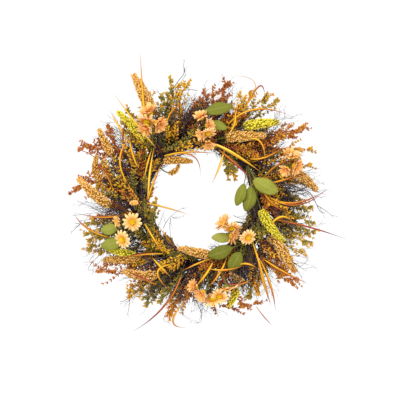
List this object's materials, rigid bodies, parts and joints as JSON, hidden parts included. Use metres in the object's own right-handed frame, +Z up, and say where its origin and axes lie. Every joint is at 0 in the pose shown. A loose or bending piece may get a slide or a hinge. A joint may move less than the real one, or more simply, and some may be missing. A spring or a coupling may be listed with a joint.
{
  "type": "harvest door wreath",
  "caption": "Round autumn door wreath: laid vine ring on a wire, with seed spikes, daisies, leaves, grasses and twig sprays, and a wire hanging loop that folds behind it.",
  "frame": {"origin": "the bearing point under the top of the hanging loop, where a nail or hook carries the wreath", "axes": "+Z up, +X to the right seen from the front, -Y the way the decorated front faces, +Y towards the door; the ring lies parallel to the XZ plane"},
  "size_m": [0.6031, 0.1417, 0.6048],
  "materials": {
    "vine": "rough dry vine, dark brown",
    "twig": "matt, dark brown-purple",
    "ring_steel": "dull dark paint",
    "binding_wire": "satin green-grey paint",
    "hanger_steel": "satin drawn wire",
    "rust_seed": "matt, moulded seeds flocked peach to rust",
    "yellow_seed": "matt, moulded seeds yellow with green at the base",
    "leaf_fabric": "matt printed cloth with a veined face",
    "grass_film": "satin film, gold turning rust at the tips",
    "petal_fabric": "matt cloth, peach with a yellow eye",
    "foliage": "matt, olive to rust small leaves"
  },
  "bodies": {
    "wreath": {"binding_wire_1": "binding_wire", "binding_wire_2": "binding_wire", "binding_wire_3": "binding_wire", "binding_wire_4": "binding_wire", "binding_wire_5": "binding_wire", "daisy_1": "petal_fabric", "daisy_2": "petal_fabric", "daisy_3": "petal_fabric", "daisy_4": "petal_fabric", "daisy_5": "petal_fabric", "daisy_6": "petal_fabric", "daisy_7": "petal_fabric", "daisy_8": "petal_fabric", "daisy_9": "petal_fabric", "foliage_spray_1": "foliage", "foliage_spray_2": "foliage", "foliage_spray_3": "foliage", "foliage_spray_4": "foliage", "foliage_spray_5": "foliage", "foliage_spray_6": "foliage", "foliage_spray_7": "foliage", "foliage_spray_8": "foliage", "grass_blade_1": "grass_film", "grass_blade_2": "grass_film", "grass_blade_3": "grass_film", "grass_blade_4": "grass_film", "grass_blade_5": "grass_film", "grass_blade_6": "grass_film", "grass_blade_7": "grass_film", "grass_blade_8": "grass_film", "hanger_staple": "hanger_steel", "leaf_pick_1": "leaf_fabric", "leaf_pick_2": "leaf_fabric", "leaf_pick_3": "leaf_fabric", "leaf_pick_4": "leaf_fabric", "ring_wire": "ring_steel", "seed_spike_1": "rust_seed", "seed_spike_10": "rust_seed", "seed_spike_11": "rust_seed", "seed_spike_12": "yellow_seed", "seed_spike_13": "yellow_seed", "seed_spike_14": "rust_seed", "seed_spike_2": "yellow_seed", "seed_spike_3": "rust_seed", "seed_spike_4": "rust_seed", "seed_spike_5": "yellow_seed", "seed_spike_6": "rust_seed", "seed_spike_7": "rust_seed", "seed_spike_8": "yellow_seed", "seed_spike_9": "rust_seed", "twig_spray_1": "twig", "twig_spray_2": "twig", "twig_spray_3": "twig", "twig_spray_4": "twig", "vine_strand_1": "vine", "vine_strand_2": "vine", "vine_strand_3": "vine", "vine_strand_4": "vine", "vine_strand_5": "vine"},
    "hanger": {"hanging_loop": "hanger_steel"}
  },
  "joints": [
    {"name": "loop_fold", "type": "hinge", "parent": "wreath", "child": "hanger", "pos_m": [0, 0.00873, -0.05338], "axis": [-1, 0, 0], "range_deg": [0, 180]}
  ]
}
